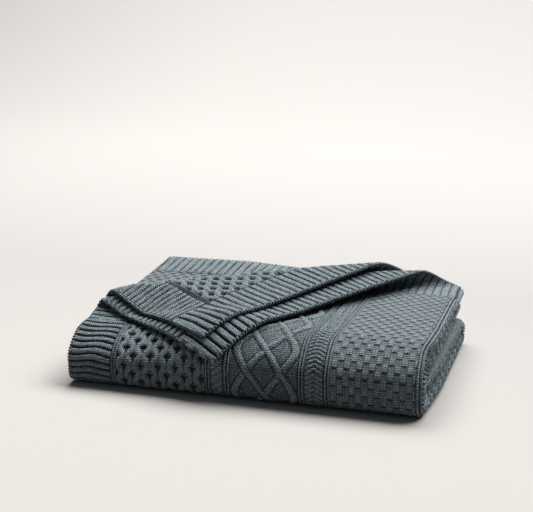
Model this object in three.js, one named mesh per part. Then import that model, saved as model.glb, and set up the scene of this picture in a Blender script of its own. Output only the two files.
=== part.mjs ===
import * as THREE from 'three';

// A knitted cotton throw with aran panels, folded to a quarter of its length and a quarter of its
// width, with the back left corner of its top two layers turned over and hanging down the front.
// Millimetres, +Z up. X runs along the front of the pack, Y to its back. The origin is under the
// middle of the pack, on the surface that it rests on.
// On the open throw, u runs along the length from one side edge to the other, and v along the
// width from one end edge to the other. The folds turn a place (u, v) into a place in the pack.

// Cloth
const THICKNESS = 3.6;        // of the knit between its raised stitches
const PITCH = 5.1;            // from one layer of the pack to the next
const SIDE_BAND = 56;         // width of the ribbed bands sewn to the two side edges
const END_BAND = 64;          // width of the ribbed bands sewn to the two end edges
const SEAM = 0.5;             // between a band and what it is sewn to
const YARN = { color: 0x3f4a50, roughness: 0.95, metalness: 0 };

// Pack
const STACK = 16;             // layers in the whole pack
const RIGHT_SIDE = 222;       // x of the outer layer where it turns at the right
const LEFT_TURN = -220;       // x of the fold between the two lower layers of a strip
const OUTER_EDGE = -221;      // x of the free side edge of a strip's outer layer
const INNER_EDGE = -218;      // x of the free side edge of the layer under it
const BACK_EDGE = 162;        // y of the free end edge
const FRONT = -165.5;         // y of the foremost point of the outer layer
const BACK_FOLD_INSET = 12;   // how far the lower strips' back fold stays short of the back edge

// Shapes of the folds along the width: depth for a height of 1, and the power of each half's curve
const FRONT_FOLD = { depth: 1.55, topPower: 1.6, bottomPower: 6 };
const INNER_FOLD = { depth: 1.55, topPower: 2, bottomPower: 2 };
const BACK_FOLD = { depth: 1.1, topPower: 2.5, bottomPower: 2.5 };

// Turned corner: the line that it is turned about, and how each of its two layers rolls over
const TURN = { x: -222, y: -83, angle: THREE.MathUtils.degToRad(28.54), length: 500 };
// Growth is the power with which the left radius grows to the right one, and landing the radius
// with which a rolled layer levels out again
const ROLLS = {
  lower: { start: STACK - 0.5, rise: 1.78, left: 4.9, right: 13.2, growth: 0.65, landing: 68 },
  upper: { start: STACK - 1.5, rise: 4.03, left: 12.6, right: 24.4, growth: 1.4, landing: 40 },
};
const ROLL_SLOPE = 0.1;       // with which a rolled layer comes down, in radians
const HANGING_OUT = 0.65;     // how far it keeps out from the front, as a share of its height

// Where the pack is lower or higher than a true box, as a share of its height: each part starts
// at a place x, y and is whole at a distance acrossX, acrossY from it
const SINKS = [
  { share: -0.15, x: 60, acrossX: -160, y: -60, acrossY: 220, power: 2 },
  { share: 0.107, x: 52, acrossX: 235, y: -41, acrossY: 168, power: 1 },
  { share: 0.17, x: -31, acrossX: -114, y: -53, acrossY: -50, power: 1 },
];
const NARROWING = 13.2;       // the back of the pack is this much shorter at the right

// How far the end edge is drawn in from the back of the pack, at places along the length
const END_EDGE = [
  { run: 0, along: 0, inset: 0 },
  { run: 2, along: 0, inset: 0 },
  { run: 2, along: 1, inset: -7.5 },
  { run: 4, along: 0, inset: -8 },
  { run: 4, along: 0.45, inset: -21.7 },
  { run: 4, along: 1, inset: 6.7 },
  { run: 6, along: 0, inset: 7.7 },
  { run: 6, along: 1, inset: 13.3 },
];
// How far each strip has slid along the front, from the top strip to the one under it
const SLIDE = [
  { run: 0, along: 0, slide: 0 },
  { run: 0, along: 1, slide: 0 },
  { run: 1, along: 0.15, slide: -2.5 },
  { run: 1, along: 0.45, slide: 0 },
  { run: 2, along: 0, slide: 1.5 },
  { run: 2, along: 1, slide: 5 },
  { run: 4, along: 0, slide: 5 },
  { run: 4, along: 1, slide: -2 },
  { run: 6, along: 0, slide: -3 },
  { run: 6, along: 1, slide: -4 },
];

// Panels of the outer layer between the bands, as distances from the side edge, with the columns
// that their mesh has. A raised figure of each kind is worked out by its own function below.
const PANELS = [
  { kind: 'ridge', from: 56, to: 61, columns: 2 },
  { kind: 'honeycomb', from: 61, to: 180, columns: 20, cell: 5.8 },
  { kind: 'ridge', from: 180, to: 185, columns: 2 },
  { kind: 'braid', from: 185, to: 202, columns: 2 },
  { kind: 'ridge', from: 202, to: 211, columns: 2 },
  { kind: 'lattice', from: 211, to: 296, columns: 15, cell: 8.4 },
  { kind: 'ridge', from: 296, to: 303, columns: 2 },
  { kind: 'braid', from: 303, to: 327, columns: 2 },
  { kind: 'ridge', from: 327, to: 335, columns: 2 },
  { kind: 'plain', from: 335, to: 436, columns: 1 },
  { kind: 'ridge', from: 436, to: 442, columns: 2 },
];
const HONEYCOMB = { column: 22.4, row: 12, firstColumn: 13.5, firstRow: 297 };
const LATTICE = { repeat: 220, crossing: 315.2, reach: 0.86, width: 0.14 };
const RELIEF = { ridge: 1.0, honeycomb: 1.4, braid: 1.3, lattice: 1.6, rib: 1.1 };
const RIB_PITCH = { side: 9.6, end: 11 };

// Cell sizes of the meshes
const CELL = {
  across: [-145, -31, 80],   // x at which flat layers are divided
  along: [-53, 0, 80],            // and y
  turnSteps: { 1: 4, 3: 3, 5: 3 },   // in each turn along the length
  foldSteps: { 1: 8, 3: 4, 5: 6 },   // and in each fold along the width
  roll: 0.85,                        // share of the radius
  least: 4.5,
  landing: 40,
  drape: 24,
};

const total = (list, key) => list.reduce((sum, row) => sum + row[key], 0);
const clamp01 = (t) => Math.min(Math.max(t, 0), 1);
const mix = (a, b, t) => a + (b - a) * t;

const smaller = (a, b) => ({ u: Math.min(a.u, b.u), v: Math.min(a.v, b.v) });

// Value between the rows of a table, for a rising key
function between(rows, key, value, at) {
  if (at <= rows[0][key]) return rows[0][value];
  for (let i = 1; i < rows.length; i += 1) {
    const [low, high] = [rows[i - 1], rows[i]];
    if (at <= high[key]) {
      return mix(low[value], high[value], (at - low[key]) / (high[key] - low[key] || 1));
    }
  }
  return rows[rows.length - 1][value];
}

// Half-turn from above to below, foremost in the middle, walked at an even pace
function halfTurn({ depth, topPower, bottomPower }, steps = 180) {
  const rows = [];
  let length = 0;
  for (let i = 0; i <= steps; i += 1) {
    const angle = (Math.PI * i) / steps;
    const power = 2 / (angle < Math.PI / 2 ? topPower : bottomPower);
    const out = depth * Math.max(Math.sin(angle), 0) ** power;
    const up = Math.sign(Math.cos(angle)) * Math.abs(Math.cos(angle)) ** power;
    if (i > 0) length += Math.hypot(out - rows[i - 1].out, up - rows[i - 1].up);
    rows.push({ length, out, up });
  }
  return {
    length,
    at: (s) => ({ out: between(rows, 'length', 'out', s), up: between(rows, 'length', 'up', s) }),
  };
}
const frontTurn = halfTurn(FRONT_FOLD);
const innerTurn = halfTurn(INNER_FOLD);
const backTurn = halfTurn(BACK_FOLD);

// Runs along the length: four flat layers of a strip and the three turns between them
const TURN_X = RIGHT_SIDE - 1.5 * PITCH;
const LEFT_X = LEFT_TURN + 0.5 * PITCH;
const flatAcross = (from, to, layer) => ({ from, to, layer, size: Math.abs(to - from) });
const turnAcross = (x, side, start, end) => (
  { x, side, start, end, size: (Math.PI * Math.abs(end - start) * PITCH) / 2 });
const ACROSS = [
  flatAcross(OUTER_EDGE, TURN_X, 3),
  turnAcross(TURN_X, 1, 3, 0),
  flatAcross(TURN_X, LEFT_X, 0),
  turnAcross(LEFT_X, -1, 0, 1),
  flatAcross(LEFT_X, TURN_X, 1),
  turnAcross(TURN_X, 1, 1, 2),
  flatAcross(TURN_X, INNER_EDGE, 2),
];

// Runs along the width: the four strips of the stack and the three folds between them.
// A strip's layer h lies at base + side * h, and a fold's layer h has the radius base + side * h.
const FOLD_Y = FRONT + 7.5 * PITCH * FRONT_FOLD.depth;
const BACK_Y = BACK_EDGE - BACK_FOLD_INSET - 3.5 * PITCH * BACK_FOLD.depth;
const strip = (from, to, base, side) => ({ from, to, base, side, size: Math.abs(to - from) });
const fold = (curve, y, z, base, side, way, down, longest) => (
  { curve, y, z, base, side, way, down, size: longest * PITCH * curve.length });
const ALONG = [
  strip(BACK_EDGE, FOLD_Y, 12.5, 1),
  fold(frontTurn, FOLD_Y, 8, 4.5, 1, -1, 1, 7.5),
  strip(FOLD_Y, BACK_Y, 3.5, -1),
  fold(backTurn, BACK_Y, 4, 0.5, 1, 1, -1, 3.5),
  strip(BACK_Y, FOLD_Y, 4.5, 1),
  fold(innerTurn, FOLD_Y, 8, 3.5, -1, -1, -1, 3.5),
  strip(FOLD_Y, BACK_EDGE, 11.5, -1),
];
const LENGTH = total(ACROSS, 'size');
const WIDTH = total(ALONG, 'size');

// Start of each run, and the run that a place lies on
const startsOf = (runs) => runs.map((_, i) => total(runs.slice(0, i), 'size'));
const U_START = startsOf(ACROSS);
const V_START = startsOf(ALONG);
function runAt(starts, at) {
  let i = starts.length - 1;
  while (i > 0 && at < starts[i]) i -= 1;
  return { index: i, past: at - starts[i] };
}
const placeTable = (rows, runs, starts, value) => rows.map((row) => (
  { at: starts[row.run] + row.along * runs[row.run].size, [value]: row[value] }));
const endEdge = placeTable(END_EDGE, ACROSS, U_START, 'inset');
const slides = placeTable(SLIDE, ALONG, V_START, 'slide');

// x, and the height h within a strip in layers
function foldAcross(u) {
  const { index, past } = runAt(U_START, u);
  const run = ACROSS[index];
  if (run.layer !== undefined) {
    return { x: mix(run.from, run.to, past / run.size), h: run.layer, index };
  }
  const angle = (Math.PI * past) / run.size;
  const half = (run.end - run.start) / 2;
  const out = run.side * Math.abs(half) * PITCH * Math.sin(angle);
  return { x: run.x + out, h: run.start + half * (1 - Math.cos(angle)), index };
}

// y and z, for a place along the width and a layer of the strip
function foldAlong(v, h) {
  if (v < 0) return { y: BACK_EDGE - v, z: (ALONG[0].base + h) * PITCH, index: 0 };
  const { index, past } = runAt(V_START, v);
  const run = ALONG[index];
  const across = run.base + run.side * h;
  if (!run.curve) {
    return { y: mix(run.from, run.to, past / run.size), z: across * PITCH, index };
  }
  const { out, up } = run.curve.at((past / run.size) * run.curve.length);
  return {
    y: run.y + run.way * across * PITCH * out,
    z: (run.z + run.down * across * up) * PITCH,
    index,
  };
}

// A layer that rolls up and over: how far it gets past the line, and how high it stands. It
// slopes down again no more steeply than lets it level out before it is below its rise.
function rollOver(past, radius, rise, landing) {
  if (past <= 0) return { n: past, z: 0 };
  const level = clamp01((landing + rise - radius) / (landing + radius));
  const slope = Math.min(ROLL_SLOPE, Math.acos(Math.min(level, 0.9999)));
  const turned = Math.PI + slope;
  const top = { n: radius * Math.sin(turned), z: radius * (1 - Math.cos(turned)) };
  const ramp = Math.max((top.z - landing * (1 - Math.cos(slope)) - rise) / Math.sin(slope), 0);
  const angle = past / radius;
  if (angle < turned) return { n: radius * Math.sin(angle), z: radius * (1 - Math.cos(angle)) };
  const after = past - radius * turned;
  const down = Math.min(after, ramp);
  const bend = Math.min(Math.max(after - ramp, 0), landing * slope) / landing;
  const flat = Math.max(after - ramp - landing * slope, 0);
  return {
    n: top.n - down * Math.cos(slope) - landing * (Math.sin(slope) - Math.sin(slope - bend)) - flat,
    z: top.z - down * Math.sin(slope) - landing * (Math.cos(slope - bend) - Math.cos(slope)),
  };
}
const turnAlong = { x: Math.cos(TURN.angle), y: Math.sin(TURN.angle) };
const turnAside = { x: -turnAlong.y, y: turnAlong.x };
const asideOfTurn = (x, y) => (x - TURN.x) * turnAside.x + (y - TURN.y) * turnAside.y;
const alongTurn = (x, y) => (x - TURN.x) * turnAlong.x + (y - TURN.y) * turnAlong.y;
const rollRadius = (roll, along) => (
  mix(roll.left, roll.right, Math.max(along / TURN.length, 0) ** roll.growth));

function turnCorner(x, y, roll) {
  const along = alongTurn(x, y);
  const { n, z } = rollOver(
    asideOfTurn(x, y), rollRadius(roll, along), roll.rise * PITCH, roll.landing);
  return {
    x: TURN.x + along * turnAlong.x + n * turnAside.x,
    y: TURN.y + along * turnAlong.y + n * turnAside.y,
    z: roll.start * PITCH + z,
  };
}

// What reaches past the flat top bends down the front
function hangOver({ x, y, z }) {
  if (y >= FOLD_Y) return { x, y, z };
  const radius = z - 8 * PITCH;
  const { out, up } = frontTurn.at((FOLD_Y - y) / radius);
  const reach = mix(7.5 * PITCH, radius, HANGING_OUT);
  return { x, y: FOLD_Y - reach * out, z: 8 * PITCH + radius * up };
}

// The pack isn't a true box
function settle({ x, y, z }) {
  const height = SINKS.reduce((left, sink) => left - sink.share
    * clamp01((x - sink.x) / sink.acrossX) * clamp01((y - sink.y) / sink.acrossY) ** sink.power, 1);
  const shorter = NARROWING * clamp01((y + 60) / 222) * clamp01(x / RIGHT_SIDE);
  return new THREE.Vector3(x - shorter, y, z * height);
}
const GROUND = (PITCH - THICKNESS) / 2;   // under the lowest layer, before the pack settles

// Middle of the cloth's thickness, before the pack settles
function rollOf(across, along) {
  if (along !== 0) return null;
  if (across === 0) return ROLLS.lower;
  return across === 6 ? ROLLS.upper : null;
}
function placeInPack(u, v) {
  const { x, h, index: across } = foldAcross(u);
  const fade = clamp01(1 - v / V_START[1]);
  const shifted = v + between(endEdge, 'at', 'inset', u) * fade;
  const { y, z, index: along } = foldAlong(shifted, h);
  const roll = rollOf(across, along);
  if (roll && asideOfTurn(x, y) > 0) {
    const turned = hangOver(turnCorner(x, y, roll));
    return new THREE.Vector3(turned.x, turned.y, turned.z - GROUND);
  }
  return new THREE.Vector3(x + between(slides, 'at', 'slide', v), y, z - GROUND);
}

// Direction out of the face that shows on the open throw
const STEP = 0.2;
function facing(u, v) {
  const alongU = placeInPack(u + STEP, v).sub(placeInPack(u - STEP, v));
  const alongV = placeInPack(u, v + STEP).sub(placeInPack(u, v - STEP));
  return alongV.cross(alongU).normalize();
}

// Raised figures
const wave = (t) => 0.5 - 0.5 * Math.cos(2 * Math.PI * t);
const figures = {
  plain: () => 0,
  ridge: ({ from, to }, u) => RELIEF.ridge * wave((2 * (u - from)) / (to - from)),
  braid: ({ from, to }, u) => RELIEF.braid * Math.sin((Math.PI * (u - from)) / (to - from)),
  honeycomb: ({ from }, u, v) => {
    const column = (u - from - HONEYCOMB.firstColumn) / HONEYCOMB.column;
    const row = (v - HONEYCOMB.firstRow) / (2 * HONEYCOMB.row);
    return RELIEF.honeycomb * (1 - wave(column + 0.5) * wave(row + 0.5)
      - wave(column) * wave(row));
  },
  lattice: ({ from, to }, u, v) => {
    const side = ((u - from) / (to - from)) * 2 - 1;
    const strand = (quarter) => {
      const turned = 2 * Math.PI * ((v - LATTICE.crossing) / LATTICE.repeat + quarter / 4);
      const course = (LATTICE.reach * Math.asin(0.95 * Math.sin(turned))) / Math.asin(0.95);
      return Math.exp(-(((side - course) / LATTICE.width) ** 2));
    };
    return RELIEF.lattice * Math.max(...[0, 1, 2, 3].map(strand));
  },
};

// The figures show on the outer layer, from the turned corner down the front to the ground. The
// corner ends on the top along a line, and covers what lies to the left of it.
const FIGURE_END = V_START[2] - 50;
const CORNER_ENDS = { x: -8, y: -120, lean: 0.5, bend: 12 };
const panelAt = (u) => PANELS.find(({ from, to }) => u >= from && u <= to);
function shows(u, v) {
  if (v > FIGURE_END) return false;
  const { x } = foldAcross(u);
  const { y, index } = foldAlong(v, 3);
  if (index === 1) return y < FOLD_Y - CORNER_ENDS.bend;
  return x > CORNER_ENDS.x + (y - CORNER_ENDS.y) * CORNER_ENDS.lean;
}
function panelRelief(u, v) {
  const panel = panelAt(u);
  if (!panel || !shows(u, v)) return 0;
  return clamp01((FIGURE_END - v) / 20) * figures[panel.kind](panel, u, v);
}

// Mesh of one piece. Each face is a rectangle of the open throw, tiled by blocks of cells. A
// cell is halved until it is as small as its place asks. The corners of its neighbours on its
// sides are corners of its triangles too, so that the faces join without gaps.
const key = (u, v) => `${u.toFixed(5)} ${v.toFixed(5)}`;
const SAMPLES = [0.02, 0.26, 0.5, 0.74, 0.98];
function cellsOf({ blocks, size }) {
  const cells = [];
  const halve = (u0, u1, v0, v1) => {
    const want = SAMPLES.flatMap((a) => SAMPLES.map((b) => size(mix(u0, u1, a), mix(v0, v1, b))))
      .reduce(smaller);
    if (u1 - u0 > want.u && (u1 - u0) / want.u >= (v1 - v0) / want.v) {
      halve(u0, (u0 + u1) / 2, v0, v1);
      halve((u0 + u1) / 2, u1, v0, v1);
    } else if (v1 - v0 > want.v) {
      halve(u0, u1, v0, (v0 + v1) / 2);
      halve(u0, u1, (v0 + v1) / 2, v1);
    } else cells.push([u0, u1, v0, v1]);
  };
  blocks.forEach(({ u, v }) => {
    for (let i = 1; i < u.length; i += 1) {
      for (let j = 1; j < v.length; j += 1) halve(u[i - 1], u[i], v[j - 1], v[j]);
    }
  });
  return cells;
}

// Corners of the cells, kept by row and by column
function cornersOf(cells) {
  const rows = new Map();
  const columns = new Map();
  const note = (map, line, at) => {
    const name = line.toFixed(5);
    if (!map.has(name)) map.set(name, new Map());
    map.get(name).set(at.toFixed(5), at);
  };
  const add = (u, v) => {
    note(rows, v, u);
    note(columns, u, v);
  };
  cells.forEach(([u0, u1, v0, v1]) => [u0, u1].forEach((u) => [v0, v1].forEach((v) => add(u, v))));
  const on = (map, line, low, high) => [...map.get(line.toFixed(5)).values()]
    .filter((at) => at > low + 1e-6 && at < high - 1e-6).sort((a, b) => a - b);
  return { add, on, rows, columns };
}

// Sides of a cell one after the other, each from its first corner to before its last
function sidesOf(corners, [u0, u1, v0, v1]) {
  const row = (v) => corners.on(corners.rows, v, u0, u1).map((u) => [u, v]);
  const column = (u) => corners.on(corners.columns, u, v0, v1).map((v) => [u, v]);
  return [
    [[u0, v0], ...row(v0)],
    [[u1, v0], ...column(u1)],
    [[u1, v1], ...row(v1).reverse()],
    [[u0, v1], ...column(u0).reverse()],
  ];
}
const rimOf = (corners, cell) => sidesOf(corners, cell).flat();

// Triangles of a cell, as places on its rim. Where three sides or more have corners on them, or
// two that face each other, a further place in its middle is called for. The preferred corner
// makes flat layers alike, although their cells lie the other way round.
const preferredCorner = (u, v) => (
  (runAt(U_START, u).index + runAt(V_START, v).index) % 4 === 0 ? 1 : 0);
function splitCell(sides, preferred) {
  const rim = sides.flat().map((_, i) => i);
  const split = sides.map((side) => side.length > 1);
  const apex = [0, 1, 2, 3].map((i) => (i + preferred) % 4)
    .find((i) => !split[i] && !split[(i + 3) % 4]);
  if (apex === undefined) return rim.map((i) => ['middle', i, (i + 1) % rim.length]);
  const first = sides.slice(0, apex).flat().length;
  const turned = [...rim.slice(first), ...rim.slice(0, first)];
  return turned.slice(1, -1).map((corner, i) => [turned[0], corner, turned[i + 2]]);
}

function clothSolid(whole, faces) {
  const position = [];
  const index = [];
  const cellsOfFace = faces.map(cellsOf);
  const corners = cellsOfFace.map(cornersOf);
  const rims = corners.map((set) => rimOf(set, whole));
  rims.forEach((rim, i) => rim.forEach(([u, v]) => corners[1 - i].add(u, v)));
  const vertexOf = [0, 1].map((face) => {
    const known = new Map();
    return (u, v) => {
      const name = key(u, v);
      if (!known.has(name)) {
        const side = face === 0 ? 1 : -1;
        const out = side * (THICKNESS / 2 + faces[face].relief(u, v));
        const point = settle(placeInPack(u, v).addScaledVector(facing(u, v), out));
        known.set(name, position.length / 3);
        position.push(point.x, point.y, Math.max(point.z, 0));
      }
      return known.get(name);
    };
  });
  cellsOfFace.forEach((cells, face) => {
    const triangle = (a, b, c) => index.push(...(face === 0 ? [a, c, b] : [a, b, c]));
    cells.forEach((cell) => {
      const sides = sidesOf(corners[face], cell);
      const rim = sides.flat();
      const middle = [(cell[0] + cell[1]) / 2, (cell[2] + cell[3]) / 2];
      const vertex = (place) => vertexOf[face](...(place === 'middle' ? middle : rim[place]));
      splitCell(sides, preferredCorner(...middle)).forEach((corner) => triangle(...corner.map(vertex)));
    });
  });
  const rim = rimOf(corners[0], whole);
  rim.forEach(([u, v], i) => {
    const [nextU, nextV] = rim[(i + 1) % rim.length];
    const [a, b] = [vertexOf[0](u, v), vertexOf[0](nextU, nextV)];
    const [c, d] = [vertexOf[1](u, v), vertexOf[1](nextU, nextV)];
    index.push(a, b, d, a, d, c);
  });
  const geometry = new THREE.BufferGeometry();
  geometry.setAttribute('position', new THREE.Float32BufferAttribute(position, 3));
  geometry.setIndex(index);
  return geometry;
}

// Lines that all layers share, so that one layer lies evenly on the next
function sharedLines(runs, starts, stops, steps) {
  const lines = [0];
  runs.forEach((run, i) => {
    const end = starts[i] + run.size;
    if (run.from === undefined) {
      for (let k = 1; k < steps[i]; k += 1) lines.push(starts[i] + (run.size * k) / steps[i]);
    } else {
      const past = stops.map((stop) => Math.abs(stop - run.from)).sort((a, b) => a - b);
      lines.push(...past.map((distance) => starts[i] + distance));
    }
    lines.push(end);
  });
  return lines;
}
const acrossLines = sharedLines(ACROSS, U_START, CELL.across, CELL.turnSteps);
const alongLines = sharedLines(ALONG, V_START, CELL.along, CELL.foldSteps);
const within = (lines, low, high) => [
  low, ...lines.filter((at) => at > low + 2 && at < high - 2), high];

// Cell size that the folds ask for at a place
const COARSE = { u: 1e3, v: 1e3 };
function foldSize(u, v) {
  const { x, index: across } = foldAcross(u);
  const { y, index: along } = foldAlong(v + between(endEdge, 'at', 'inset', u), 0);
  const roll = rollOf(across, along);
  if (!roll) return COARSE;
  const aside = asideOfTurn(x, y);
  const radius = rollRadius(roll, alongTurn(x, y));
  const size = Math.max(CELL.roll * radius, CELL.least);
  if (aside > -size && aside < Math.PI * radius + size) return { u: size, v: size };
  if (aside < -size) return COARSE;
  if (aside < Math.PI * radius + roll.landing) return { u: CELL.landing, v: CELL.landing };
  return turnCorner(x, y, roll).y > FOLD_Y ? COARSE : { u: CELL.drape, v: CELL.drape };
}
// Cell size that the raised figures ask for
function figureSize(u, v) {
  const panel = panelAt(u);
  return panel?.cell && shows(u, v) ? { u: COARSE.u, v: panel.cell } : COARSE;
}

const throwFolded = new THREE.Group();
function addPiece(name, whole, faces) {
  const mesh = new THREE.Mesh(clothSolid(whole, faces), new THREE.MeshStandardMaterial(YARN));
  mesh.name = name;
  throwFolded.add(mesh);
}

// The aran panel, the whole middle of the throw, in one piece. Its raised lines are cut into
// the face that shows, as far as they show.
const [panelLeft, panelRight] = [SIDE_BAND + SEAM, LENGTH - SIDE_BAND - SEAM];
const [panelBack, panelEnd] = [END_BAND + SEAM, WIDTH - END_BAND - SEAM];
const sorted = (list) => [...new Set(list)].sort((a, b) => a - b);
const figureLines = PANELS.flatMap(({ from, to, columns }) => (
  Array.from({ length: columns + 1 }, (_, i) => mix(from, to, i / columns))));
const figureRight = PANELS.at(-1).to;
const plainBlock = {
  u: within(acrossLines, panelLeft, panelRight),
  v: within(alongLines, panelBack, panelEnd),
};
const figureBlocks = [
  {
    u: sorted([panelLeft, ...figureLines.filter((at) => at > panelLeft + 2)]),
    v: within(alongLines, panelBack, FIGURE_END),
  },
  {
    u: within(acrossLines, panelLeft, figureRight),
    v: within(alongLines, FIGURE_END, panelEnd),
  },
  { u: within(acrossLines, figureRight, panelRight), v: plainBlock.v },
];
addPiece('aran_panel', [panelLeft, panelRight, panelBack, panelEnd], [
  {
    blocks: figureBlocks,
    size: (u, v) => smaller(foldSize(u, v), figureSize(u, v)),
    relief: panelRelief,
  },
  { blocks: [plainBlock], size: foldSize, relief: () => 0 },
]);

// Bands: their ribs run from the seam out to the edge. Each face has them where it shows: the
// two corners turned over, the front under them, and the layer that they leave bare at the back.
function ribLines(lines, shown, pitch) {
  const kept = lines.filter((at) => shown.every(({ from, to }) => at <= from || at >= to));
  shown.forEach(({ from, to }) => {
    for (let at = Math.ceil(from / pitch) * pitch; at < to; at += pitch / 2) kept.push(at);
  });
  return sorted(kept);
}
const ribRelief = (at, shown, pitch) => (
  shown.some(({ from, to }) => at > from && at < to)
    ? RELIEF.rib * (0.5 - wave(at / pitch)) : 0);

function sideBand(name, from, to, shownOnFaces) {
  const [low, high] = [END_BAND + SEAM, WIDTH - END_BAND - SEAM];
  addPiece(name, [from, to, low, high], shownOnFaces.map((shown) => ({
    blocks: [{ u: [from, to], v: within(ribLines(alongLines, shown, RIB_PITCH.side), low, high) }],
    size: foldSize,
    relief: (u, v) => ribRelief(v, shown, RIB_PITCH.side),
  })));
}
const TURNED_OVER = BACK_EDGE - TURN.y;
sideBand('side_band_outer', 0, SIDE_BAND, [
  [{ from: TURNED_OVER, to: V_START[2] - 30 }],
  [{ from: END_BAND, to: TURNED_OVER + 20 }],
]);
sideBand('side_band_inner', LENGTH - SIDE_BAND, LENGTH, [
  [{ from: END_BAND, to: TURNED_OVER + 10 }],
  [],
]);

function endBand(name, from, to, shownOnFaces) {
  addPiece(name, [0, LENGTH, from, to], shownOnFaces.map((shown) => ({
    blocks: [{ u: within(ribLines(acrossLines, shown, RIB_PITCH.end), 0, LENGTH), v: [from, to] }],
    size: foldSize,
    relief: (u) => ribRelief(u, shown, RIB_PITCH.end),
  })));
}
endBand('end_band_outer', 0, END_BAND, [
  [
    { from: U_START[4] + 8, to: U_START[4] + 240 },
    { from: U_START[6] + 20, to: LENGTH },
  ],
  [{ from: 0, to: U_START[1] - 20 }],
]);
endBand('end_band_inner', WIDTH - END_BAND, WIDTH, [[], []]);

// The folds are worked out from places in the pack that are handy for them. The origin of the
// part is under the middle of all of it.
const bounds = new THREE.Box3().setFromObject(throwFolded);
const middle = bounds.getCenter(new THREE.Vector3());
throwFolded.children.forEach(({ geometry }) => (
  geometry.translate(-middle.x, -middle.y, -bounds.min.z)));

export default throwFolded;
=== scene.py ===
# %% [markdown]
# # A folded aran knit throw
#
# The real thing is one wide knitted panel with a ribbed band sewn to each of its four edges. It
# is folded to a quarter of its length and a quarter of its width, and the back left corner of
# its two top layers is turned over and hangs down the front. A cloth simulation could fold it
# too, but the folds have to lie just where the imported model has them. So they are worked out as
# functions that take a place on the open throw to its place in the pack, and each knitted piece
# is a closed sheet of its own, with its stitches raised in its points.

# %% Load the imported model, the fixed frame that the looks are built around
import math

import bpy
import numpy as np
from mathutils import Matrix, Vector


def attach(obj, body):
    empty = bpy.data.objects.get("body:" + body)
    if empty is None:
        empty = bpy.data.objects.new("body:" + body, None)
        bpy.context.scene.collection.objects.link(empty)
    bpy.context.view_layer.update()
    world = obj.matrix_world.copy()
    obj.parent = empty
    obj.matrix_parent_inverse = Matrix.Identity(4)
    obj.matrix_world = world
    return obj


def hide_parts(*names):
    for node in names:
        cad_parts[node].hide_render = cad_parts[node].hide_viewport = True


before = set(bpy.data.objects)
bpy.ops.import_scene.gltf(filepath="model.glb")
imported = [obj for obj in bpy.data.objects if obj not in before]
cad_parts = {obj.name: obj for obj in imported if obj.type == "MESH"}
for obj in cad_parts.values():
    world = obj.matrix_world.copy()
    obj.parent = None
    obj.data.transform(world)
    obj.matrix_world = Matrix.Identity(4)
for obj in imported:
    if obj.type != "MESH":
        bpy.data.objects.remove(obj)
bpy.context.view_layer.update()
print("nodes in the frame:", sorted(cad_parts))

# %% [markdown]
# The cloth's own sizes come first, in millimetres as in the part's source. They are turned into
# Blender's metres when a mesh is made. On the open throw, u runs along the length from one side
# edge to the other, and v along the width from one end edge to the other. Heights in the pack
# are counted in layers, from the surface that it rests on.

# %% Sizes of the cloth and of the pack
MM = 0.001
THICKNESS = 3.6              # of the knit between its raised stitches
PITCH = 5.1                  # from one layer of the pack to the next
SIDE_BAND = 56.0
END_BAND = 64.0
SEAM = 0.5                   # between a band and what it is sewn to
STACK = 16                   # layers in the whole pack
HALF = STACK / 2
OUTERMOST = HALF - 0.5       # layers from the middle of the front fold to its outermost one
SMALL_FOLD = HALF / 2 - 0.5  # and from the middle of the back or the inner fold to its own
print(f"pack of {STACK} layers, {STACK * PITCH:.0f} mm high")

# %% [markdown]
# ## Folds
#
# A fold along the width is a half-turn of all its layers round each other. Half a circle is too
# thin for it, as the weight of the layers makes the real fold fuller at the front. So the curve
# is a circle with other powers above and below, and it is walked at an even pace, so that the
# knit isn't stretched where the curve is steep.

# %% Half-turn curve, from above to below, foremost in the middle
FRONT_FOLD = {"depth": 1.55, "top": 1.6, "bottom": 6.0}
INNER_FOLD = {"depth": 1.55, "top": 2.0, "bottom": 2.0}
BACK_FOLD = {"depth": 1.1, "top": 2.5, "bottom": 2.5}


def half_turn(curve, steps=180):
    angle = np.linspace(0, math.pi, steps + 1)
    power = 2 / np.where(angle < math.pi / 2, curve["top"], curve["bottom"])
    out = curve["depth"] * np.clip(np.sin(angle), 0, None) ** power
    up = np.sign(np.cos(angle)) * np.abs(np.cos(angle)) ** power
    length = np.concatenate([[0], np.cumsum(np.hypot(np.diff(out), np.diff(up)))])
    return {"length": length, "out": out, "up": up}


def on_curve(curve, distance):
    return (np.interp(distance, curve["length"], curve["out"]),
            np.interp(distance, curve["length"], curve["up"]))


front_turn = half_turn(FRONT_FOLD)
inner_turn = half_turn(INNER_FOLD)
back_turn = half_turn(BACK_FOLD)
print("front fold, length for a height of 1:", round(float(front_turn["length"][-1]), 3))

# %% [markdown]
# Along its length the throw is folded into a strip of four flat layers, with a turn between
# each two. Along its width that strip is folded in four again. Both are tables of runs, and a
# place on the open throw lies on one run of each.

# %% Runs along the length: layers of the strip are counted from 0, inside, to 3, outside
RIGHT_SIDE = 222.0
LEFT_TURN = -220.0
OUTER_EDGE = -221.0
INNER_EDGE = -218.0
TURN_X = RIGHT_SIDE - 1.5 * PITCH    # the right turn goes round from layer 3 to layer 0
LEFT_X = LEFT_TURN + 0.5 * PITCH     # and the left one from layer 0 to layer 1


def flat(start, end, layer):
    return {"start": start, "end": end, "layer": layer, "size": abs(end - start)}


def turn(x, side, first, last):
    size = math.pi * abs(last - first) * PITCH / 2
    return {"x": x, "side": side, "first": first, "last": last, "size": size}


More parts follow.
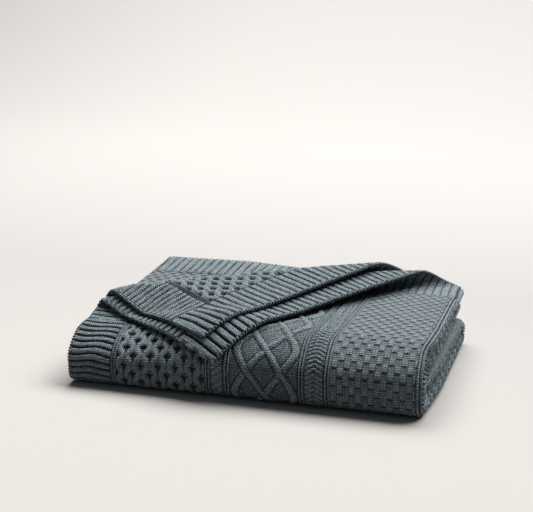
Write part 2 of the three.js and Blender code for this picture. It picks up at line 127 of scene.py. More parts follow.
ACROSS = [
    flat(OUTER_EDGE, TURN_X, 3),
    turn(TURN_X, 1, 3, 0),
    flat(TURN_X, LEFT_X, 0),
    turn(LEFT_X, -1, 0, 1),
    flat(LEFT_X, TURN_X, 1),
    turn(TURN_X, 1, 1, 2),
    flat(TURN_X, INNER_EDGE, 2),
]
RIGHT_TURN = 1    # place in the table of the first turn at the right
BARED = 4         # and of the layer that the turned corner leaves bare
U_START = np.concatenate([[0], np.cumsum([run["size"] for run in ACROSS])])
LENGTH = float(U_START[-1])
print("runs along the length, mm:", [round(run["size"]) for run in ACROSS])

# %% Runs along the width: layer h of the strip lies at base + side * h, counted in layers
BACK_EDGE = 162.0
FRONT = -165.5
BACK_FOLD_INSET = 12.0
FOLD_Y = FRONT + OUTERMOST * PITCH * FRONT_FOLD["depth"]
BACK_Y = BACK_EDGE - BACK_FOLD_INSET - SMALL_FOLD * PITCH * BACK_FOLD["depth"]


def strip(start, end, base, side):
    return {"start": start, "end": end, "base": base, "side": side, "size": abs(end - start)}


def fold(curve, y, z, base, side, way, down, longest):
    size = longest * PITCH * curve["length"][-1]
    return {"curve": curve, "y": y, "z": z, "base": base, "side": side,
            "way": way, "down": down, "size": size}


ALONG = [
    strip(BACK_EDGE, FOLD_Y, base=12.5, side=1),
    fold(front_turn, FOLD_Y, HALF, base=4.5, side=1, way=-1, down=1, longest=OUTERMOST),
    strip(FOLD_Y, BACK_Y, base=3.5, side=-1),
    fold(back_turn, BACK_Y, HALF / 2, base=0.5, side=1, way=1, down=-1, longest=SMALL_FOLD),
    strip(BACK_Y, FOLD_Y, base=4.5, side=1),
    fold(inner_turn, FOLD_Y, HALF, base=3.5, side=-1, way=-1, down=-1, longest=SMALL_FOLD),
    strip(FOLD_Y, BACK_EDGE, base=11.5, side=-1),
]
TOP, DOWN_FRONT = 0, 1    # places in the table: the strip on top, and the fold at the front
V_START = np.concatenate([[0], np.cumsum([run["size"] for run in ALONG])])
WIDTH = float(V_START[-1])
print(f"open throw: {LENGTH:.0f} x {WIDTH:.0f} mm")


# %% x and the layer of the strip, for a place along the length
def run_at(starts, at):
    return np.clip(np.searchsorted(starts, at, side="right") - 1, 0, len(starts) - 2)


def fold_across(u):
    x = np.zeros_like(u)
    h = np.zeros_like(u)
    index = run_at(U_START, u)
    for i, run in enumerate(ACROSS):
        here = index == i
        past = (u[here] - U_START[i]) / run["size"]
        if "layer" in run:
            x[here] = run["start"] + (run["end"] - run["start"]) * past
            h[here] = run["layer"]
        else:
            half = (run["last"] - run["first"]) / 2
            x[here] = run["x"] + run["side"] * abs(half) * PITCH * np.sin(math.pi * past)
            h[here] = run["first"] + half * (1 - np.cos(math.pi * past))
    return x, h, index


_, layers, _ = fold_across(np.array([0.0, LENGTH / 2, LENGTH]))
print("layers of the strip at one side edge, halfway and at the other:", layers.round(2))

# %% y and z, for a place along the width and a layer of the strip
def fold_along(v, h):
    y = np.zeros_like(v)
    z = np.zeros_like(v)
    index = run_at(V_START, v)
    for i, run in enumerate(ALONG):
        here = index == i
        past = (v[here] - V_START[i]) / run["size"]
        layer = run["base"] + run["side"] * h[here]
        if "curve" in run:
            out, up = on_curve(run["curve"], past * run["curve"]["length"][-1])
            y[here] = run["y"] + run["way"] * layer * PITCH * out
            z[here] = (run["z"] + run["down"] * layer * up) * PITCH
        else:
            y[here] = run["start"] + (run["end"] - run["start"]) * past
            z[here] = layer * PITCH
    return y, z, index


_, heights, _ = fold_along(np.array([0.0, WIDTH / 2, WIDTH]), np.zeros(3))
print("heights at one end edge, halfway and at the other, mm:", heights.round(1))

# %% [markdown]
# The turned corner could be a bent copy of the sheet, but then the knit on it would not be the
# knit that is missing from the pack. So it is the same layer, rolled about a slanting line: up
# and over with a radius that grows from left to right, down again, level, and then over the
# front edge of the pack. The upper of its two layers rolls round the lower one.

# %% The line that the corner is turned about, and how each of its two layers rolls over
TURN = {"x": -222.0, "y": -83.0, "angle": math.radians(28.54), "length": 500.0}
LOWER = {"run": 0, "start": STACK - 0.5, "rise": 1.78, "left": 4.9, "right": 13.2,
         "growth": 0.65, "landing": 68.0}
UPPER = {"run": 6, "start": STACK - 1.5, "rise": 4.03, "left": 12.6, "right": 24.4,
         "growth": 1.4, "landing": 40.0}
ROLL_SLOPE = 0.1          # of the way down from the roll, in radians
ALMOST_ONE = 0.9999       # keeps that slope a little above nothing
HANGING_OUT = 0.65        # share of its extra height by which the corner hangs further out
turn_along = np.array([math.cos(TURN["angle"]), math.sin(TURN["angle"])])
turn_aside = np.array([-turn_along[1], turn_along[0]])


def about_turn(x, y):
    along = (x - TURN["x"]) * turn_along[0] + (y - TURN["y"]) * turn_along[1]
    aside = (x - TURN["x"]) * turn_aside[0] + (y - TURN["y"]) * turn_aside[1]
    return along, aside


def roll_radius(roll, along):
    share = np.clip(along / TURN["length"], 0, None) ** roll["growth"]
    return roll["left"] + (roll["right"] - roll["left"]) * share


for roll in (LOWER, UPPER):
    radii = roll_radius(roll, np.array([0.0, TURN["length"]]))
    print(f"run {roll['run']} rolls over with a radius of {radii[0]:.1f} to {radii[1]:.1f} mm")


# %% The roll itself: how far it has come across the line, and how high
def roll_over(past, radius, rise, landing):
    level = np.clip((landing + rise - radius) / (landing + radius), 0, ALMOST_ONE)
    slope = np.minimum(ROLL_SLOPE, np.arccos(level))
    turned = math.pi + slope
    top_n = radius * np.sin(turned)
    top_z = radius * (1 - np.cos(turned))
    ramp = np.clip((top_z - landing * (1 - np.cos(slope)) - rise) / np.sin(slope), 0, None)
    angle = past / radius
    after = past - radius * turned
    down = np.clip(after, 0, ramp)
    bend = np.clip(after - ramp, 0, landing * slope) / landing
    flat_on = np.clip(after - ramp - landing * slope, 0, None)
    landed = landing * (np.sin(slope) - np.sin(slope - bend))
    dropped = landing * (np.cos(slope - bend) - np.cos(slope))
    rolling = angle < turned
    n = np.where(rolling, radius * np.sin(angle), top_n - down * np.cos(slope) - landed - flat_on)
    z = np.where(rolling, radius * (1 - np.cos(angle)), top_z - down * np.sin(slope) - dropped)
    return np.where(past <= 0, past, n), np.where(past <= 0, 0, z)


def turn_corner(x, y, roll):
    along, aside = about_turn(x, y)
    n, z = roll_over(aside, roll_radius(roll, along), roll["rise"] * PITCH, roll["landing"])
    return (TURN["x"] + along * turn_along[0] + n * turn_aside[0],
            TURN["y"] + along * turn_along[1] + n * turn_aside[1],
            roll["start"] * PITCH + z)


def hang_over(y, z):
    radius = z - HALF * PITCH
    out, up = on_curve(front_turn, np.clip(FOLD_Y - y, 0, None) / radius)
    over = y < FOLD_Y
    reach = OUTERMOST * PITCH + (radius - OUTERMOST * PITCH) * HANGING_OUT
    return (np.where(over, FOLD_Y - reach * out, y),
            np.where(over, HALF * PITCH + radius * up, z))


# %% [markdown]
# A pack folded by hand isn't a true box. Its back left is fuller, its back right flatter, its
# end edge isn't quite straight, and each strip has slid a little on the one under it. Small
# tables of a few places each say so, and what lies between them follows smoothly.

# %% How the end edge runs, the strips slide and the pack sinks
END_EDGE = [            # run, share of the run, how far the end edge is drawn in
    (0, 0, 0), (2, 0, 0), (2, 1, -7.5), (4, 0, -8),
    (4, 0.45, -21.7), (4, 1, 6.7), (6, 0, 7.7), (6, 1, 13.3),
]
SLIDE = [               # run, share of the run, how far the strip has slid along the front
    (0, 0, 0), (0, 1, 0), (1, 0.15, -2.5), (1, 0.45, 0), (2, 0, 1.5), (2, 1, 5), (4, 0, 5),
    (4, 1, -2), (6, 0, -3), (6, 1, -4),
]
SINKS = [               # share of the height, from a place x, y on, whole at a distance across
    {"share": -0.15, "x": 60, "across_x": -160, "y": -60, "across_y": 220, "power": 2},
    {"share": 0.107, "x": 52, "across_x": 235, "y": -41, "across_y": 168, "power": 1},
    {"share": 0.17, "x": -31, "across_x": -114, "y": -53, "across_y": -50, "power": 1},
]
NARROWING = {"most": 13.2, "y": -60, "across_y": 222}    # of the right side, towards the back


def placed(rows, starts):
    at = [starts[run] + share * (starts[run + 1] - starts[run]) for run, share, _ in rows]
    return np.array(at), np.array([row[2] for row in rows], float)


def settle(points):
    x, y, z = np.moveaxis(points, -1, 0)
    height = np.ones_like(z)
    for sink in SINKS:
        whole_x = np.clip((x - sink["x"]) / sink["across_x"], 0, 1)
        whole_y = np.clip((y - sink["y"]) / sink["across_y"], 0, 1) ** sink["power"]
        height -= sink["share"] * whole_x * whole_y
    to_back = np.clip((y - NARROWING["y"]) / NARROWING["across_y"], 0, 1)
    shorter = NARROWING["most"] * to_back * np.clip(x / RIGHT_SIDE, 0, 1)
    return np.stack([x - shorter, y, z * height], axis=-1)


end_edge = placed(END_EDGE, U_START)
slides = placed(SLIDE, V_START)
print(f"the end edge wanders by {end_edge[1].max() - end_edge[1].min():.0f} mm")

# %% Place of the middle of the cloth, and the direction out of its public side
GROUND = (PITCH - THICKNESS) / 2     # what the lowest layer would otherwise hang over the floor


def folded(u, v):
    x, h, across = fold_across(u)
    drawn_in = np.interp(u, *end_edge) * np.clip(1 - v / V_START[1], 0, 1)
    y, z, along = fold_along(v + drawn_in, h)
    return x, y, z, across, along


def place(u, v):
    x, y, z, across, along = folded(u, v)
    slid = x + np.interp(v, *slides)
    for roll in (LOWER, UPPER):
        here = (across == roll["run"]) & (along == TOP) & (about_turn(x, y)[1] > 0)
        rolled_x, rolled_y, rolled_z = turn_corner(x[here], y[here], roll)
        y[here], z[here] = hang_over(rolled_y, rolled_z)
        slid[here] = rolled_x
    return np.stack([slid, y, z - GROUND], axis=-1)


def facing(u, v, step=0.2):
    along_u = place(u + step, v) - place(u - step, v)
    along_v = place(u, v + step) - place(u, v - step)
    out = np.cross(along_v, along_u)
    return out / np.linalg.norm(out, axis=-1, keepdims=True)


tip = settle(place(np.zeros(1), np.zeros(1)))[0]
print("tip of the turned corner, mm:", [round(float(at)) for at in tip])

# %% [markdown]
# Only what the pack shows gets its stitches raised and small cells. What it hides stays plain,
# or the meshes would be far too heavy. On the outer layer the figures show down the front and
# to the right of the turned corner. The turned corner shows its upper layer whole and the bands
# of its lower one, and behind it lies the layer that it has left bare.

# %% Where each face of the cloth shows
FIGURE_END = V_START[2] - 34   # under the pack, before the front fold has come to its end
CORNER_ENDS = {"x": -22.0, "y": -120.0, "lean": 0.5, "bend": 6.0}
PAST_TURN = {"outer": 6, "upper": -4, "bared": -12}   # from the line that the corner turns about


def shows(u, v, public):
    x, y, _, across, along = folded(u, v)
    _, aside = about_turn(x, y)
    top = along == TOP
    in_band = (u < SIDE_BAND) | (v < END_BAND) | (u > LENGTH - SIDE_BAND)
    rolled = top & (aside > 0) & in_band
    if not public:
        return rolled & ((across == LOWER["run"]) | (across == UPPER["run"]))
    corner = CORNER_ENDS["x"] + (y - CORNER_ENDS["y"]) * CORNER_ENDS["lean"]
    bare = (y < FOLD_Y - CORNER_ENDS["bend"]) | (x > corner)
    front = (across <= RIGHT_TURN) & (along == DOWN_FRONT) & bare & (v < FIGURE_END)
    outer = (across == LOWER["run"]) & top
    uncovered = outer & (aside < PAST_TURN["outer"]) & ((x > corner) | (u < SIDE_BAND))
    upper = (across == UPPER["run"]) & top & (aside > PAST_TURN["upper"])
    bared = (across == BARED) & top & (aside > PAST_TURN["bared"])
    return front | uncovered | (rolled & outer) | (across == RIGHT_TURN) | upper | bared


middle_front = np.array([LENGTH / 8]), np.array([(V_START[1] + V_START[2]) / 2])
print("the front shows:", bool(shows(*middle_front, True)[0]))


# %% [markdown]
# ## Raised stitches
#
# Each panel of the knit has its own figure: a height in millimetres over the plain face, worked
# out from the share of the way across the panel and the place along the knit's columns. A bump
# in the material alone would leave the outlines and the folds smooth, so the figures are in the
# mesh, and formulas keep them sharp at any cell size. From the side edge in, the panels are
# these.

# %% Panels, as distances from the side edge of the throw
PANELS = [
    ("ridge", 56, 63.5), ("honeycomb", 63.5, 179), ("ridge", 179, 186.5), ("rope", 186.5, 202.5),
    ("ridge", 202.5, 211), ("lattice", 211, 295.5), ("ridge", 295.5, 303), ("braid", 303, 327),
    ("ridge", 327, 335), ("basket", 335, 435.5), ("ridge", 435.5, 443), ("garter", 443, 462),
    ("ridge", 462, 470), ("basket", 470, 900),
]
FIGURES = {}
SAMPLE = {"across": 60, "along": 240, "length": 120.0}    # of a figure, to measure its height


def bump(distance, width):
    return np.exp(-(distance / width) ** 2)


def rounded(share):
    return np.sqrt(1 - (1 - share) ** 2)


def add_figure(name, figure):
    FIGURES[name] = figure
    width = next(end - start for kind, start, end in PANELS if kind == name)
    share, along = np.meshgrid(np.linspace(0, 1, SAMPLE["across"]),
                               np.linspace(0, SAMPLE["length"], SAMPLE["along"]))
    height = figure(share, along, width)
    print(f"{name}: {width} mm wide, {height.min():.1f} to {height.max():.1f} mm high")


print("panels from a side edge to the middle of the throw:", len(PANELS))

# %% [markdown]
# Between every two figures stands a ridge of two smooth columns. Round the right turn of the
# pack run rows of garter stitch, which are soft waves across the columns.

# %% Ridges and garter rows
RIDGE = {"groove": 0.5, "shoulder": 1.4, "height": 3.3, "sunk": 2.0}
GARTER = {"row": 6.8, "roundness": 0.8, "height": 3.2, "sunk": 1.9}


def ridge(share, along, width):
    from_groove = (0.5 - np.abs(share * 2 % 1 - 0.5)) * width / 2
    column = np.clip((from_groove - RIDGE["groove"]) / RIDGE["shoulder"], 0, 1)
    return RIDGE["height"] * rounded(column) - RIDGE["sunk"]


def garter(share, along, width):
    wave = 0.5 - 0.5 * np.cos(2 * math.pi * (along / GARTER["row"]))
    return GARTER["height"] * wave ** GARTER["roundness"] - GARTER["sunk"]


add_figure("ridge", ridge)
add_figure("garter", garter)

# %% [markdown]
# The honeycomb is made of cords that part and meet again. Where they part, an eye opens with a
# small pit under it, and where they meet, a slit is left between them.

# %% Honeycomb: cords that part around an eye and meet below it in a slit
HONEYCOMB = {"column": 22.4, "row": 12.0, "first_column": 11.0, "first_row": 297.0, "cord": 5.5,
             "roundness": 2.5, "height": 2.8, "sunk": 1.1, "hole": 3.0}
EYE = {"half_width": 4.9, "narrowing": 0.5, "half_height": 2.3}
PIT = {"depth": 0.9, "half_width": 1.4, "below": 5.4, "half_height": 1.5}
SLIT = {"depth": 0.7, "half_width": 1.0, "top": 4, "fade_in": 3, "bottom": 18, "fade_out": 4}


def honeycomb_hole(aside, below):
    half_width = EYE["half_width"] - EYE["narrowing"] * below
    eye = np.exp(-((aside / half_width) ** 2 + (below / EYE["half_height"]) ** 2) ** 2)
    pit = PIT["depth"] * bump(aside, PIT["half_width"])
    pit = pit * bump(below - PIT["below"], PIT["half_height"])
    slit = SLIT["depth"] * bump(aside, SLIT["half_width"])
    slit = slit * np.clip((below - SLIT["top"]) / SLIT["fade_in"], 0, 1)
    slit = slit * np.clip((SLIT["bottom"] - below) / SLIT["fade_out"], 0, 1)
    return np.maximum(eye, np.maximum(pit, slit))


def honeycomb(share, along, width):
    column, row_height = HONEYCOMB["column"], HONEYCOMB["row"]
    x = (share * width - HONEYCOMB["first_column"]) / column
    row = (along - HONEYCOMB["first_row"]) / row_height
    swing = column / 8 * np.cos(math.pi * row)
    cords = np.zeros_like(share)
    for side in (-1, 1):
        distance = (x * column - side * (column / 4 + swing) + column / 2) % column - column / 2
        flank = np.abs(distance / HONEYCOMB["cord"]) ** HONEYCOMB["roundness"]
        cords = np.maximum(cords, np.clip(1 - flank, 0, 1) ** 0.5)
    holes = np.zeros_like(share)
    for shift in (0, 1):
        below = ((row - shift + 0.5) % 2 - 0.5) * row_height
        aside = ((x - 0.5 * shift + 0.5) % 1 - 0.5) * column
        holes = np.maximum(holes, honeycomb_hole(aside, below))
    return HONEYCOMB["height"] * cords - HONEYCOMB["sunk"] - HONEYCOMB["hole"] * holes


add_figure("honeycomb", honeycomb)

# %% [markdown]
# A rope is a narrow cable of slanting strands. The braid's strands slant both ways from a
# groove in its middle, like ears of wheat.

# %% Rope and braid
ROPE = {"pitch": 9.0, "slant": 0.6, "roundness": 0.7, "side_power": 6,
        "base": 0.2, "height": 1.9, "sunk": 1.1}
BRAID = {"pitch": 5.8, "slant": 6.0, "roundness": 0.8, "side_power": 8,
         "base": 0.2, "height": 2.2, "sunk": 1.3, "groove": 0.8, "groove_width": 0.1}


def rope(share, along, width):
    side = share * 2 - 1
    turned = math.pi * (along / ROPE["pitch"] + ROPE["slant"] * side)
    strand = ROPE["base"] + ROPE["height"] * np.abs(np.sin(turned)) ** ROPE["roundness"]
    return strand * np.clip(1 - side ** ROPE["side_power"], 0, 1) - ROPE["sunk"]


def braid(share, along, width):
    side = np.abs(share * 2 - 1)
    turned = math.pi * (along - BRAID["slant"] * side) / BRAID["pitch"]
    strand = BRAID["base"] + BRAID["height"] * np.abs(np.sin(turned)) ** BRAID["roundness"]
    body = np.clip(1 - side ** BRAID["side_power"], 0, 1)
    groove = BRAID["groove"] * bump(side, BRAID["groove_width"])
    return strand * body - BRAID["sunk"] - groove


add_figure("rope", rope)
add_figure("braid", braid)

# %% [markdown]
# Four cords wander from side to side of the lattice, a quarter of a wave apart. At a crossing,
# the cord that runs one way lies over the one that runs the other way, which stops short of it
# as a cable does that dives under. The ground between them is moss stitch, a chequer of bumps.

# %% Lattice of four cords over a moss ground
LATTICE = {"repeat": 220.0, "crossing": 315.2, "reach": 0.86, "cord": 3.9, "sharpness": 0.95,
           "roundness": 4, "gap": 1.4, "height": 1.9, "sunk": 0.3}
LATTICE_GROOVE = {"depth": 1.1, "out": 0.7, "width": 0.9}
MOSS = {"across": 4.6, "along": 4.4, "height": 0.6}
FAR_OFF = 99.0


def cord_distances(side, along, reach, lean):
    over, under = np.full((2, *side.shape), FAR_OFF)
    for quarter in range(4):
        share = (along - LATTICE["crossing"]) / LATTICE["repeat"] + quarter / 4
        course = np.arcsin(LATTICE["sharpness"] * np.sin(2 * math.pi * share))
        course = course / math.asin(LATTICE["sharpness"])
        distance = np.abs(side - reach * course) / math.hypot(1, lean)
        rising = np.cos(2 * math.pi * share) > 0
        over = np.where(rising, np.minimum(over, distance), over)
        under = np.where(rising, under, np.minimum(under, distance))
    return over, under


def lattice(share, along, width):
    side = (share * 2 - 1) * width / 2
    reach = LATTICE["reach"] * width / 2
    cord, power = LATTICE["cord"], LATTICE["roundness"]
    over, under = cord_distances(side, along, reach, reach * 4 / LATTICE["repeat"])
    top = np.clip(1 - (over / cord) ** power, 0, 1) ** 0.5
    low = np.clip(1 - (under / cord) ** power, 0, 1) ** 0.5
    low = low * np.clip((over - cord) / LATTICE["gap"], 0, 1)
    out, groove_width = cord + LATTICE_GROOVE["out"], LATTICE_GROOVE["width"]
    groove = np.maximum(bump(over - out, groove_width),
                        bump(under - out, groove_width) * (over > cord))
    ground = np.clip(np.minimum(over, under) - cord, 0, 1)
    moss = np.sin(2 * math.pi * side / MOSS["across"]) * np.sin(2 * math.pi * along / MOSS["along"])
    return (LATTICE["height"] * np.maximum(top, low) - LATTICE["sunk"]
            - LATTICE_GROOVE["depth"] * groove + MOSS["height"] * moss * ground)


add_figure("lattice", lattice)

# %% [markdown]
# Basket stitch is a chequer of small blocks, one high and one low. Only that soft chequer is in
# the mesh. The gaps at the blocks' edges are too narrow for its cells and would flicker from row
# to row, so the yarn's material paints them further down, as painted shade and a sunk bump.

# %% Basket stitch, and the height of the whole panel
BASKET = {"column": 7.5, "row": 9.6, "first_row": 4.0, "flatness": 2.0,
          "height": 0.4, "level": 0.3}
FADE_OUT = 20.0     # of the figures, where they stop under the pack


def basket(share, along, width):
    x = share * width / BASKET["column"]
    y = (along - BASKET["first_row"]) / BASKET["row"]
    blocks = np.clip(-BASKET["flatness"] * np.sin(math.pi * x) * np.sin(math.pi * y), -1, 1)
    return BASKET["level"] + BASKET["height"] * blocks


add_figure("basket", basket)
basket_starts = [start for kind, start, _ in PANELS if kind == "basket"]
basket_ends = [end for kind, _, end in PANELS if kind == "basket"]
garter_start = next(start for kind, start, _ in PANELS if kind == "garter")


def panel_relief(u, v):
    distance = np.minimum(u, LENGTH - u)
    height = np.zeros_like(u)
    for kind, start, end in PANELS:
        here = (distance >= start) & (distance < end)
        width = end - start
        height[here] = FIGURES[kind]((distance[here] - start) / width, v[here], width)
    on_turn = (distance > garter_start) & (distance < basket_starts[-1])
    return height * np.where(on_turn, 1, np.clip((FIGURE_END - v) / FADE_OUT, 0, 1))


# %% [markdown]
# The bands are ribbed: broad round ribs with a narrow groove between each two. Straight ribs
# look machined, so these sway a little, as in cloth that has been handled. The free edges are
# bound off in a chain of beads, which also stand out a little over the edge.

# %% Ribs of the bands, and the chain along a free edge
RIB_PITCH = {"side": 9.6, "end": 11.0}
RIB = {"half_width": 0.4, "shoulder": 2.2, "height": 3.2, "sunk": 2.0}
SWAYS = [(0.7, 11.0, 0.0), (0.5, 17.0, 1.0)]     # how far, over what length, from what phase
SWAY_LEAN = 0.3                                  # so that the ribs don't all sway in step
CHAIN = {"pitch": 4.6, "width": 3.0, "bulge": 1.5, "reach": 5, "blend": 0.8,
         "roundness": 0.8, "height": 2.9, "sunk": 1.6}


def sway(along):
    return sum(most * np.sin(along / length + phase) for most, length, phase in SWAYS)


def ribs(at, pitch):
    across = np.abs((at / pitch) % 1 - 0.5) * pitch
    rib = np.clip((pitch * RIB["half_width"] - across) / RIB["shoulder"], 0, 1)
    return RIB["height"] * rounded(rib) - RIB["sunk"]


def chain_beads(along):
    return np.abs(np.sin(math.pi * along / CHAIN["pitch"]))


def with_chain(relief, gap, along):
    beads = CHAIN["height"] * chain_beads(along) ** CHAIN["roundness"] - CHAIN["sunk"]
    near = np.clip((CHAIN["width"] - gap) / CHAIN["blend"], 0, 1)
    return relief * (1 - near) + beads * near


print("ribs on the two kinds of band, mm apart:", RIB_PITCH)

# %% [markdown]
# ## From figures to meshes
#
# A grid with one cell size for the whole throw would be coarse on the stitches or far too heavy
# in the hidden layers. So each face of a sheet is cut into tiles, and each tile into as many
# cells as its place asks for. Where a tile meets a finer one, its cells on that side take in
# the finer tile's points, so that the sheet has no open edges. Both faces end on the same rim,
# which a narrow wall joins.

# %% Cell sizes that a place asks for, along u and along v, in millimetres
HIDDEN = 24.0
TURN_CELL = {"length": 2.5, "width": 5.0}
ROLL_CELLS = {"rolled": 3.4, "landed": 8.0, "before": 6, "after": 10}
EDGE_CELL = 1.3
FIGURE_CELLS = {
    "ridge": (0.7, 6.0), "honeycomb": (1.4, 1.4), "rope": (1.5, 1.5), "lattice": (1.7, 1.9),
    "braid": (1.5, 1.1), "basket": (1.9, 1.6), "garter": (4.0, 1.4),
}
COARSER = np.array([1.0, 1.0, 1.0, 1.0, 1.5, 1.5, 1.2])    # by runs, to keep the mesh light


def panel_cells(u, v):
    distance = np.minimum(u, LENGTH - u)
    cells = np.full((2, len(u)), HIDDEN)
    for kind, start, end in PANELS:
        here = (distance >= start) & (distance < end)
        cells[:, here] = np.reshape(FIGURE_CELLS[kind], (2, 1))
    return cells


def wanted(u, v, public, stitch_cells):
    x, y, _, across, along = folded(u, v)
    distance, aside = about_turn(x, y)
    cells = np.full((2, len(u)), HIDDEN)
    cells[0, across % 2 == 1] = TURN_CELL["length"]
    cells[1, (along % 2 == 1) | (across == RIGHT_TURN)] = TURN_CELL["width"]
    for roll in (LOWER, UPPER):
        near = (across == roll["run"]) & (along == TOP) & (aside > -ROLL_CELLS["before"])
        landed = aside >= math.pi * roll_radius(roll, distance) + ROLL_CELLS["after"]
        size = np.where(landed, ROLL_CELLS["landed"], ROLL_CELLS["rolled"])
        cells = np.where(near, np.minimum(cells, size), cells)
    fine = np.minimum(cells, stitch_cells(u, v) * COARSER[across])
    return np.where(shows(u, v, public), fine, cells)


print("cells of the figures, mm:", FIGURE_CELLS)

# %% [markdown]
# Tile borders lie on the starts of folds and panels, so that no cell bridges one. Each tile
# asks at 25 spots what cells it needs, and the smallest answer counts. A narrow tile runs along
# each edge of a sheet.

# %% Borders of the tiles, and the cells in them
TILE = 22.0
NEAREST = 2.0                          # that a border comes to the tile along an edge
SPOTS = np.linspace(0.02, 0.98, 5)     # where a tile asks, as shares of its width and height
ROUNDING = 0.01                        # cells, so that a whole count stays whole
print(f"tiles of about {TILE:.0f} mm, asked at {len(SPOTS) ** 2} spots each")


def borders(low, high, stops, edge_tiles):
    first, last = low + edge_tiles[0], high - edge_tiles[1]
    lines = [low, first]
    inner = [stop for stop in stops if first + NEAREST < stop < last - NEAREST]
    for stop in sorted(inner) + [last]:
        count = max(1, round((stop - lines[-1]) / TILE))
        lines += list(np.linspace(lines[-1], stop, count + 1)[1:])
    return np.array(lines + [high])


def cells_of(lines_u, lines_v, public, stitch_cells):
    u0, v0 = [grid.ravel() for grid in np.meshgrid(lines_u[:-1], lines_v[:-1])]
    u1, v1 = [grid.ravel() for grid in np.meshgrid(lines_u[1:], lines_v[1:])]
    least = np.min([wanted(u0 + (u1 - u0) * a, v0 + (v1 - v0) * b, public, stitch_cells)
                    for a in SPOTS for b in SPOTS], axis=0)
    count_u, count_v = np.ceil([u1 - u0, v1 - v0] / least - ROUNDING).astype(int)
    cells = []
    for nu, nv in sorted(set(zip(count_u.tolist(), count_v.tolist()))):
        tiles = (count_u == nu) & (count_v == nv)
        i, j = [grid.ravel() for grid in np.meshgrid(np.arange(nu), np.arange(nv))]
        wide, high = (u1 - u0)[tiles, None] / nu, (v1 - v0)[tiles, None] / nv
        left, low = u0[tiles, None] + wide * i, v0[tiles, None] + high * j
        cells.append(np.stack([left, left + wide, low, low + high], -1).reshape(-1, 4))
    return np.concatenate(cells)


# %% [markdown]
# Neighbouring cells share a point only if both find it under one key. The key is the point's
# place on the open throw, rounded, and moved a little off the halves, which would round either
# way. Sorted by rows and by columns, the keys also tell which points lie between two corners.

# %% Keys of the points, and their order along rows or along columns
KEY = 1 << 24
KEY_STEPS = 1000       # in a millimetre
KEY_SHIFT = 0.13       # of a step


def key_of(u, v):
    whole_u, whole_v = [np.round(at * KEY_STEPS + KEY_SHIFT).astype(np.int64) for at in (u, v)]
    return whole_u * KEY + whole_v


def order_and_rank(minor, major):
    order = np.lexsort((minor, major))
    rank = np.empty(len(order), int)
    rank[order] = np.arange(len(order))
    return order, rank


print("steps along u and v in the key of 1, 2 mm:", divmod(key_of(*np.arange(1.0, 3.0)), KEY))

# %% One face: polygons of the cells with their neighbours' points on their sides
TOUCHING = 1e-4        # millimetres
SIDES = [(0, 1, 0), (1, 2, 1), (2, 3, 0), (3, 0, 1)]    # two corners, and along row or column


class Face:
    def __init__(self, cells):
        self.cells = cells
        u0, u1, v0, v1 = cells.T
        self.u = np.concatenate([u0, u1, u1, u0])
        self.v = np.concatenate([v0, v0, v1, v1])
        self.index()

    def index(self):
        self.keys, first = np.unique(key_of(self.u, self.v), return_index=True)
        self.u, self.v = self.u[first], self.v[first]

    def rim(self, low_u, high_u, low_v, high_v):
        gaps = [self.u - low_u, self.u - high_u, self.v - low_v, self.v - high_v]
        on = np.min(np.abs(gaps), axis=0) < TOUCHING
        return self.u[on], self.v[on]

    def add(self, u, v):
        self.u, self.v = np.concatenate([self.u, u]), np.concatenate([self.v, v])
        self.index()

    def find(self, u, v):
        return np.searchsorted(self.keys, key_of(u, v))

    def polygons(self):
        in_u, in_v = self.keys // KEY, self.keys % KEY
        ranks = [order_and_rank(in_u, in_v), order_and_rank(in_v, in_u)]
        u0, u1, v0, v1 = self.cells.T
        corners = [self.find(u0, v0), self.find(u1, v0), self.find(u1, v1), self.find(u0, v1)]
        gaps = [np.abs(ranks[way][1][corners[b]] - ranks[way][1][corners[a]])
                for a, b, way in SIDES]
        plain = np.all(np.array(gaps) == 1, axis=0)
        polygons = np.stack([corner[plain] for corner in corners], -1).tolist()
        for cell in np.nonzero(~plain)[0]:
            polygon = []
            for a, b, way in SIDES:
                order, rank = ranks[way]
                first, last = rank[corners[a][cell]], rank[corners[b][cell]]
                step = 1 if last > first else -1
                polygon += order[first:last:step].tolist()
            polygons.append(polygon)
        return polygons


wide_cell, half_cells = [0, 2, 0, 2], [[2, 3, 0, 1], [2, 3, 1, 2]]
example = Face(np.array([wide_cell, *half_cells], float))
print("a cell beside two half as high, corners:", [len(p) for p in example.polygons()])

# %% [markdown]
# A free edge of the knit is round and a seam is a shallow groove, so each face comes nearer to
# the middle of the cloth towards its edges. Every point keeps its place on the open throw as
# its texture coordinates, for the stitches of the material, and how deep it lies as an
# attribute, for the painted shade that the material puts in the grooves, seams and edges.

# %% Points of one face, and how deep they lie
EDGES = {
    "free": {"tile": 5.2, "radius": 2.2, "least": 0.35},
    "sewn": {"tile": 1.5, "radius": 1.4, "least": 0.5},
}
DEPTH = {"edge": 1.6, "darkest": 1.8, "range": 2.1}


def edge_profile(distance, radius, least):
    return least + (1 - least) * rounded(np.clip(distance / radius, 0, 1))


for kind, edge in EDGES.items():
    print(f"{kind} edge: {THICKNESS * edge['least']:.1f} mm thick at the very edge")


